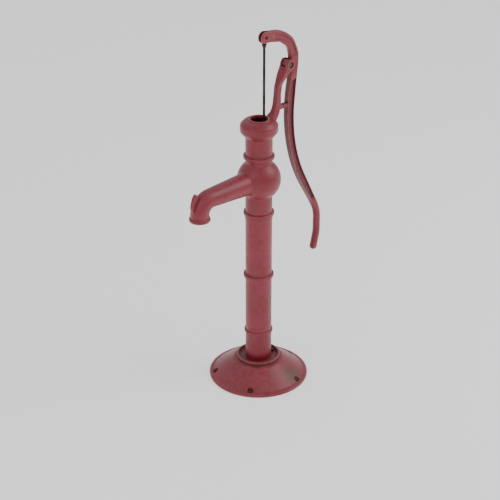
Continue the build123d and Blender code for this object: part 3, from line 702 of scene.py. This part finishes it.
def make_lever():
    """Hooked lever with recessed sides, from the tip over the rod down to the round grip."""
    outer = [
        (TIP[0], BOSS_Z + TIP_R - 0.4, 0),
        (104, 1357.8, 120),
        (158, 1318, 90),
        (183.4, 1262, 90),
        (183.4, 1235, 110),
        (148, 917, 570),
        (283.4, 654.5, 0),
    ]
    inner = [
        (TIP[0] + 8, BOSS_Z - TIP_R + 2.5, 0),
        (96, 1315.5, 70),
        (139, 1283, 40),
        (146.5, 1245, 60),
        (147.5, 1188.6, 40),
        (102.8, 911, 610),
        (262.5, 645.4, 0),
    ]
    sections = []
    for inside, outside in paired(inner, outer, (22, 9)):
        middle = (inside + outside) / 2
        across = (outside - inside).normalized()
        half = (outside - inside).length / 2
        thick = lever_thickness(*middle)
        upper = 1 - smooth_step(middle.y, 1152, 1164)
        pocket = 6.8 * upper * smooth_step(middle.y, 651, 660)
        on_arch = smooth_step(middle.y, 1238, 1262)
        shallow = 3.0 * on_arch * smooth_step(middle.x, 56, 68)
        corner = 3.2 + 3.0 * on_arch
        rims = (3.6 + 3.9 * on_arch, 4.2 + 7.3 * on_arch)
        sections.append(section(middle, across, half, thick, corner, pocket + shallow, rims=rims))
    grip_line = [(273, 650, 0), (301.5, 594, 130), (301.5, 503, 150), (287, 445, 0)]
    grip = rounded(grip_line, 7.0, 3.0, closed=False)
    for k, here in enumerate(grip[2:], 2):
        ahead = (grip[min(k + 1, len(grip) - 1)] - grip[k - 1]).normalized()
        across = Vector((-ahead.y, ahead.x))
        part = smooth_step(k, 1, 6)
        size = GRIP_ROOT + (GRIP_R - GRIP_ROOT) * part
        thick = LEVER_HALF + (GRIP_R - LEVER_HALF) * part
        sections.append(section(here, across, size, thick, 4.0, 0.0, part))
    end, back = grip[-1], (grip[-1] - grip[-2]).normalized()
    across = Vector((-back.y, back.x))
    for k in range(1, 9):
        angle = radians(10.5 * k)
        size = GRIP_R * cos(angle)
        sections.append(section(end + back * GRIP_R * sin(angle), across, size, size, size * 0.3, 0.0, 1.0))
    lever = lofted("lever_casting", sections)
    boss = turned(
        "tip_boss",
        [(0, -LEVER_HALF, 0), (TIP_R, -LEVER_HALF, 5), (TIP_R, LEVER_HALF, 5), (0, LEVER_HALF, 0)],
        crosswise(TIP[0], BOSS_Z),
        segments=72,
        step=3.0,
    )
    eye = turned(
        "lever_eye",
        [(0, -EYE_HALF, 0), (16.4, -EYE_HALF, 1.5), (16.4, EYE_HALF, 1.5), (0, EYE_HALF, 0)],
        crosswise(*PIVOT),
        segments=72,
        step=3.0,
    )
    pad_corners = [(112.4, 1061, 3), (140, 1061, 0), (140, 1076, 0), (112.4, 1076, 3)]
    pad = plate("stop_pad", pad_corners, ARM_HALF - 0.5, 2.5)
    combine(lever, [boss, eye, pad], "UNION")
    slot_corners = [
        (TIP[0] - 30, TIP[1] - 30, 0),
        (TIP[0] + 6.5, TIP[1] - 30, 0),
        (TIP[0] + 14, TIP[1], 12),
        (TIP[0] + 14, TIP[1] + 30, 0),
        (TIP[0] - 30, TIP[1] + 30, 0),
    ]
    slot = plate("tip_slot", slot_corners, 5.6, 0.01)
    room = rod_along_y("tip_room", TIP[0], TIP[1], 13.5, 5.6)
    spot_near = rod_along_y("tip_spot_near", TIP[0], TIP[1], 6.5, 2.5, -LEVER_HALF, 0.6)
    spot_far = rod_along_y("tip_spot_far", TIP[0], TIP[1], 6.5, 2.5, LEVER_HALF, 0.6)
    tip_bore = rod_along_y("tip_bore", TIP[0], TIP[1], TIP_HOLE_R, 20)
    eye_bore = rod_along_y("eye_bore", PIVOT[0], PIVOT[1], PIVOT_HOLE_R, 20)
    return combine(lever, [slot, room, spot_near, spot_far, tip_bore, eye_bore], "DIFFERENCE")


# ---- camera, floor and light ----
def make_camera():
    """The view of the reference: from above, past the spout's near side."""
    data = bpy.data.cameras.new("camera")
    data.lens, data.sensor_width = 108, 36
    camera = bpy.data.objects.new("camera", data)
    bpy.context.scene.collection.objects.link(camera)
    camera.location = Vector((-3369, -3564, 3101)) * MM
    pitch = radians(27.68)
    look = Vector((0.682 * cos(pitch), 0.731 * cos(pitch), -sin(pitch)))
    camera.rotation_mode = "QUATERNION"
    camera.rotation_quaternion = look.to_track_quat("-Z", "Y")
    bpy.context.scene.camera = camera


def make_stage():
    """A pale plain floor, in metres, a hair below the foot."""
    size = 30.0
    corners = [(-size, -size, 0), (size, -size, 0), (size, size, 0), (-size, size, 0)]
    mesh = bpy.data.meshes.new("floor")
    mesh.from_pydata(corners, [], [(0, 1, 2, 3)])
    floor = linked("floor", mesh)
    floor.location.z = -0.0005
    paper = bpy.data.materials.new("pale_floor")
    paper.use_nodes = True
    surface = paper.node_tree.nodes["Principled BSDF"]
    surface.inputs["Base Color"].default_value = (0.93, 0.93, 0.93, 1)
    surface.inputs["Roughness"].default_value = 0.9
    surface.inputs["Emission Color"].default_value = (1, 1, 1, 1)
    surface.inputs["Emission Strength"].default_value = 0.5
    mesh.materials.append(paper)


def add_light(name, place, aim, size, power):
    data = bpy.data.lights.new(name, "AREA")
    data.shape = "SQUARE"
    data.size, data.energy = size, power
    light = bpy.data.objects.new(name, data)
    light.location = place
    light.rotation_mode = "QUATERNION"
    light.rotation_quaternion = (Vector(aim) - Vector(place)).to_track_quat("-Z", "Y")
    bpy.context.scene.collection.objects.link(light)


def make_light():
    """Soft even studio light, with one key from the lever's side."""
    world = bpy.data.worlds.new("studio")
    bpy.context.scene.world = world
    world.use_nodes = True
    sky = world.node_tree.nodes["Background"]
    sky.inputs["Color"].default_value = (0.97, 0.98, 1.0, 1)
    sky.inputs["Strength"].default_value = 0.66
    add_light("key", (2.6, -2.6, 3.4), (0, 0, 0.7), 2.6, 70)
    add_light("fill", (-3.2, -0.6, 2.4), (0, 0, 0.8), 2.4, 16)


# ---- materials ----
class Surface:
    """A node material under construction, with its Principled shader."""

    def __init__(self, name):
        self.material = bpy.data.materials.new(name)
        self.material.use_nodes = True
        self.tree = self.material.node_tree
        self.shader = self.tree.nodes["Principled BSDF"]
        self.place = self.tree.nodes.new("ShaderNodeTexCoord")
        self.relief = None

    def give(self, socket, value):
        """Links an output to a socket, or sets the socket to a plain value."""
        if isinstance(value, bpy.types.NodeSocket):
            self.tree.links.new(value, socket)
        elif isinstance(value, tuple) and len(value) == 3 and socket.type == "RGBA":
            socket.default_value = (*value, 1)
        else:
            socket.default_value = value

    def grain(self, scale, detail=4.0, roughness=0.55, stretch=None):
        """Fractal noise fixed to the piece, with scale in features per metre."""
        made = self.tree.nodes.new("ShaderNodeTexNoise")
        made.inputs["Scale"].default_value = scale
        made.inputs["Detail"].default_value = detail
        made.inputs["Roughness"].default_value = roughness
        source = self.place.outputs["Object"]
        if stretch:
            squeeze = self.tree.nodes.new("ShaderNodeMapping")
            squeeze.inputs["Scale"].default_value = stretch
            self.give(squeeze.inputs["Vector"], source)
            source = squeeze.outputs["Vector"]
        self.give(made.inputs["Vector"], source)
        return made.outputs["Fac"]

    def cells(self, scale):
        """Distance to the nearest of scattered points, for pits and leather grain."""
        made = self.tree.nodes.new("ShaderNodeTexVoronoi")
        made.inputs["Scale"].default_value = scale
        self.give(made.inputs["Vector"], self.place.outputs["Object"])
        return made.outputs["Distance"]

    def remap(self, value, start, end, first=0.0, last=1.0):
        """Runs from first to last as value goes from start to end, and stays there beyond."""
        made = self.tree.nodes.new("ShaderNodeMapRange")
        made.interpolation_type = "SMOOTHSTEP"
        for name, number in (("From Min", start), ("From Max", end), ("To Min", first), ("To Max", last)):
            made.inputs[name].default_value = number
        self.give(made.inputs["Value"], value)
        return made.outputs["Result"]

    def maths(self, one, two, how="MULTIPLY"):
        """Product of two values, or what how says instead."""
        made = self.tree.nodes.new("ShaderNodeMath")
        made.operation = how
        self.give(made.inputs[0], one)
        self.give(made.inputs[1], two)
        return made.outputs["Value"]

    def mixed(self, factor, first, second):
        """Colour that goes from first to second with factor."""
        made = self.tree.nodes.new("ShaderNodeMix")
        made.data_type = "RGBA"
        self.give(made.inputs[0], factor)
        self.give(made.inputs[6], first)
        self.give(made.inputs[7], second)
        return made.outputs[2]

    def nearness(self, distance, inside=False):
        """How open a place is: 1 in the open, lower in corners, or on edges with inside."""
        made = self.tree.nodes.new("ShaderNodeAmbientOcclusion")
        made.samples = 8
        made.inside = inside
        made.only_local = True
        made.inputs["Distance"].default_value = distance
        return made.outputs["AO"]

    def part_of_place(self, axis, source="Object"):
        """One axis of the place on the piece, or of its normal."""
        made = self.tree.nodes.new("ShaderNodeSeparateXYZ")
        self.give(made.inputs["Vector"], self.place.outputs[source])
        return made.outputs[axis]

    def around(self, centre, start, end):
        """1 within start of a point of the piece, falling to 0 at end."""
        made = self.tree.nodes.new("ShaderNodeVectorMath")
        made.operation = "DISTANCE"
        self.give(made.inputs[0], self.place.outputs["Object"])
        made.inputs[1].default_value = centre
        return self.remap(made.outputs["Value"], start, end, 1.0, 0.0)

    def rough_up(self, height, strength, depth):
        """Adds relief of a height value, depth in metres, to what is there."""
        made = self.tree.nodes.new("ShaderNodeBump")
        made.inputs["Strength"].default_value = strength
        made.inputs["Distance"].default_value = depth
        self.give(made.inputs["Height"], height)
        if self.relief:
            self.give(made.inputs["Normal"], self.relief)
        self.relief = made.outputs["Normal"]
        self.give(self.shader.inputs["Normal"], self.relief)

    def finish(self, colour, roughness, metallic=0.0):
        """Feeds the shader and hands over the material."""
        self.give(self.shader.inputs["Base Color"], colour)
        self.give(self.shader.inputs["Roughness"], roughness)
        self.give(self.shader.inputs["Metallic"], metallic)
        return self.material


def red_enamel(name="red_enamel", wear_and_shade=None):
    """Weathered crimson enamel over a rough casting: painted shade in its corners, a painted highlight on
    its rims, small chips.
    """
    skin = Surface(name)
    patches = skin.grain(9, 3)
    mottle = skin.grain(60, 6, 0.6)
    colour = skin.mixed(skin.remap(patches, 0.35, 0.65), (0.205, 0.008, 0.017), (0.25, 0.014, 0.03))
    colour = skin.mixed(skin.remap(mottle, 0.45, 0.75, 0, 0.35), colour, (0.125, 0.008, 0.011))
    upward = skin.remap(skin.part_of_place("Z", "Normal"), 0.25, 0.95)
    dust = skin.maths(upward, skin.remap(mottle, 0.3, 0.7, 0.12, 0.4))
    colour = skin.mixed(dust, colour, (0.36, 0.10, 0.12))
    # painted highlight: edges and rims turn pale pink, mottled; the same edge mask places the chips below
    rim = skin.remap(skin.nearness(0.005, inside=True), 0.55, 0.93, 1, 0)
    colour = skin.mixed(skin.maths(rim, skin.remap(mottle, 0.35, 0.6, 0.1, 0.6)), colour, (0.45, 0.13, 0.14))
    # painted shade: corners and hollows go dark brown, mottled, and a little rougher there
    shade_and_grime = skin.remap(skin.nearness(0.02), 0.45, 0.93, 1, 0)
    shade_and_grime = skin.maths(shade_and_grime, skin.remap(skin.grain(45, 4), 0.3, 0.6, 0.45, 1))
    colour = skin.mixed(skin.maths(shade_and_grime, 0.9), colour, (0.04, 0.010, 0.009))
    # each casting's own stains and its painted shade come in through this hook
    if wear_and_shade:
        colour = wear_and_shade(skin, colour, mottle)
    chips = skin.maths(skin.remap(skin.grain(150, 3), 0.66, 0.69), skin.remap(rim, 0.1, 0.5, 0.12, 1))
    colour = skin.mixed(chips, colour, (0.05, 0.025, 0.018))
    gloss = skin.remap(mottle, 0.3, 0.7, 0.36, 0.5)
    skin.rough_up(skin.grain(28, 2), 0.25, 0.0012)
    skin.rough_up(skin.grain(420, 3), 0.16, 0.00035)
    skin.shader.inputs["Sheen Weight"].default_value = 0.04
    skin.shader.inputs["Sheen Roughness"].default_value = 0.45
    skin.shader.inputs["Coat Weight"].default_value = 0.12
    skin.shader.inputs["Coat Roughness"].default_value = 0.35
    return skin.finish(colour, skin.maths(gloss, skin.maths(shade_and_grime, 0.25), "ADD"))


def foot_stain_and_shade(skin, colour, mottle):
    """Olive-brown worn patch beside one anchor hole, and painted shade, dark brown, in the dish."""
    worn_place, dish_middle = (0.045, -0.135, 0.03), (0, 0, 0.072)
    worn = skin.around(worn_place, 0.016, 0.062)
    patch = skin.maths(worn, skin.remap(mottle, 0.34, 0.56, 0.35, 1.0))
    colour = skin.mixed(patch, colour, (0.135, 0.062, 0.038))
    # painted shade: dark brown, mottled, in the dish and low on the column
    in_dish = skin.around(dish_middle, 0.066, 0.076)
    dish = skin.maths(in_dish, skin.remap(mottle, 0.35, 0.65, 0.3, 0.85))
    return skin.mixed(dish, colour, (0.10, 0.032, 0.022))


def lever_shade_and_grime(skin, colour, mottle):
    """Painted shade, with some brown grime, in the lever's hollows, along its inner face and round its tip
    pin.
    """
    off_middle = skin.maths(skin.part_of_place("Y"), 0, "ABSOLUTE")
    height = skin.part_of_place("Z")
    # painted shade, with some grime: dark brown on the pocket floors and the middle of the narrow faces,
    # below the arch
    hollow_shade_and_grime = skin.maths(skin.remap(off_middle, 0.0064, 0.0098, 1, 0), skin.remap(height, 1.15, 1.19, 1, 0))
    hollow_shade_and_grime = skin.maths(hollow_shade_and_grime, skin.remap(height, 0.60, 0.66, 0.35, 1))
    hollow_shade_and_grime = skin.maths(hollow_shade_and_grime, skin.remap(mottle, 0.3, 0.6, 0.55, 0.9))
    colour = skin.mixed(hollow_shade_and_grime, colour, (0.115, 0.008, 0.012))
    # painted shade round the tip pin, on both faces
    for side in (-LEVER_HALF, LEVER_HALF):
        spot = skin.around((TIP[0] * MM, side * MM, TIP[1] * MM), 0.0055, 0.0095)
        colour = skin.mixed(skin.maths(spot, 0.8), colour, (0.07, 0.016, 0.011))
    return colour


def fork_shade_and_grease(skin, colour, mottle):
    """Painted shade, with grease and dirt, in the recess round the fulcrum pin and between the ears."""
    # painted shade, with grease: near black over the pin's recess, and between the ears
    stain = skin.around((PIVOT[0] * MM, (RECESS - FORK_HALF) * MM, PIVOT[1] * MM), 0.0112, 0.0128)
    gap = skin.around((PIVOT[0] * MM, 0, PIVOT[1] * MM), 0.024, 0.034)
    inside = skin.remap(skin.maths(skin.part_of_place("Y"), 0, "ABSOLUTE"), 0.0108, 0.0125, 1, 0)
    colour = skin.mixed(skin.maths(stain, 0.85), colour, (0.06, 0.006, 0.011))
    return skin.mixed(skin.maths(skin.maths(gap, inside), 0.75), colour, (0.05, 0.005, 0.009))


def pin_shade_and_grease(skin, colour, mottle):
    """The fulcrum pin's head, nearly all dark: painted shade of its recess, with grease and dirt."""
    # painted shade, with grease: nearly the whole pin head goes dark
    return skin.mixed(skin.remap(mottle, 0.3, 0.6, 0.55, 0.8), colour, (0.055, 0.008, 0.011))


def worn_metal(name, bright, dull, roughness, scale=70, metallic=1.0, brushed=None, stain=None):
    """Metal with a patchy dull film, fine scratches and painted shade in its corners."""
    skin = Surface(name)
    film = skin.remap(skin.grain(scale, 4, 0.5), 0.34, 0.68)
    colour = skin.mixed(film, bright, dull)
    if stain:
        spots = skin.remap(skin.grain(scale * 1.6, 3, 0.5), 0.5, 0.72, 0, 0.8)
        colour = skin.mixed(spots, colour, stain)
    # painted shade: corners darken towards a quarter of the dull tone
    corner = skin.remap(skin.nearness(0.006), 0.4, 0.9, 0.8, 0)
    colour = skin.mixed(corner, colour, tuple(part * 0.25 for part in dull))
    scratches = skin.grain(500, 3, 0.5, brushed or (1, 1, 0.1))
    skin.rough_up(scratches, 0.05, 0.0001)
    return skin.finish(colour, skin.remap(film, 0, 1, roughness, min(1.0, roughness + 0.25)), metallic)


def zinc_spangle(name):
    """Hot-dip galvanising: faceted grey spangle with white bloom."""
    skin = Surface(name)
    crystal = skin.remap(skin.cells(160), 0.1, 0.7)
    bloom = skin.remap(skin.grain(40, 5), 0.5, 0.66, 0, 0.6)
    colour = skin.mixed(crystal, (0.40, 0.42, 0.43), (0.56, 0.58, 0.59))
    colour = skin.mixed(bloom, colour, (0.66, 0.66, 0.64))
    skin.rough_up(skin.grain(300, 3), 0.1, 0.0002)
    return skin.finish(colour, skin.remap(crystal, 0, 1, 0.38, 0.55), skin.remap(bloom, 0, 0.6, 0.9, 0.35))


def oiled_leather(name):
    """Pump leather: brown, oiled, with pebbled grain and darker worn places."""
    skin = Surface(name)
    pebble = skin.cells(900)
    tone = skin.remap(skin.grain(90, 5), 0.35, 0.68)
    colour = skin.mixed(tone, (0.20, 0.085, 0.035), (0.085, 0.034, 0.016))
    colour = skin.mixed(skin.remap(pebble, 0.0, 0.35, 0.6, 0), colour, (0.04, 0.018, 0.010))
    skin.rough_up(pebble, 0.5, 0.0004)
    return skin.finish(colour, skin.remap(tone, 0, 1, 0.62, 0.42))


def black_rubber(name):
    """Matt seal rubber with a grey bloom."""
    skin = Surface(name)
    bloom = skin.remap(skin.grain(120, 5), 0.45, 0.7, 0, 0.5)
    skin.rough_up(skin.grain(700, 3), 0.3, 0.0003)
    colour = skin.mixed(bloom, (0.018, 0.018, 0.018), (0.06, 0.058, 0.055))
    return skin.finish(colour, skin.remap(bloom, 0, 0.5, 0.7, 0.88))


def make_finishes():
    """One material for each of the record's slots."""
    return {
        "red_paint": red_enamel(),
        "dark_steel": worn_metal(
            "dark_steel",
            (0.062, 0.044, 0.034),
            (0.034, 0.024, 0.018),
            0.5,
            24,
            0.7,
            stain=(0.058, 0.027, 0.016),
        ),
        "zinc_steel": worn_metal(
            "zinc_steel",
            (0.46, 0.46, 0.44),
            (0.26, 0.25, 0.23),
            0.32,
            stain=(0.16, 0.09, 0.05),
        ),
        "galvanised_steel": zinc_spangle("galvanised_steel"),
        "brass": worn_metal(
            "brass",
            (0.68, 0.48, 0.19),
            (0.36, 0.24, 0.10),
            0.26,
            brushed=(0.1, 0.1, 1),
        ),
        "leather": oiled_leather("leather"),
        "rubber": black_rubber("rubber"),
        "raw_iron": worn_metal(
            "raw_iron",
            (0.15, 0.135, 0.12),
            (0.07, 0.055, 0.045),
            0.62,
            50,
            0.6,
            stain=(0.13, 0.055, 0.028),
        ),
    }


def finish_cad_nodes(finishes):
    """Gives each carried-over CAD node its slot's material; the pin's head is enamel darkened with painted
    shade and grease.
    """
    slots = {part["node"]: part["material_slot"] for part in frame["record"]["subparts"]}
    for name, obj in frame["nodes"].items():
        obj.data.materials.clear()
        obj.data.materials.append(finishes[slots[name]])
    pin = frame["nodes"]["pivot_pin"]
    pin.data.materials[0] = red_enamel("pin_enamel", pin_shade_and_grease)


def cast(obj, body, nodes, material):
    """Hands a finished casting to its body, in place of its CAD nodes."""
    obj.data.materials.clear()
    obj.data.materials.append(material)
    obj.data.shade_smooth()
    obj.data.set_sharp_from_angle(angle=radians(40))
    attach(obj, body)
    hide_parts(*nodes)


make_camera()
make_stage()
make_light()
finishes = make_finishes()
finish_cad_nodes(finishes)
paint = finishes["red_paint"]
cast(make_foot(), "stand", ("base_flange",), red_enamel("foot_enamel", foot_stain_and_shade))
cast(make_stand(), "stand", ("stand_column",), paint)
cast(make_barrel(), "stand", ("barrel",), paint)
cast(make_head(), "stand", ("pump_head", "spout", "spout_elbow"), paint)
cast(make_cap(), "stand", ("cap_bracket",), red_enamel("fork_enamel", fork_shade_and_grease))
cast(make_lever(), "lever", ("handle",), red_enamel("lever_enamel", lever_shade_and_grime))
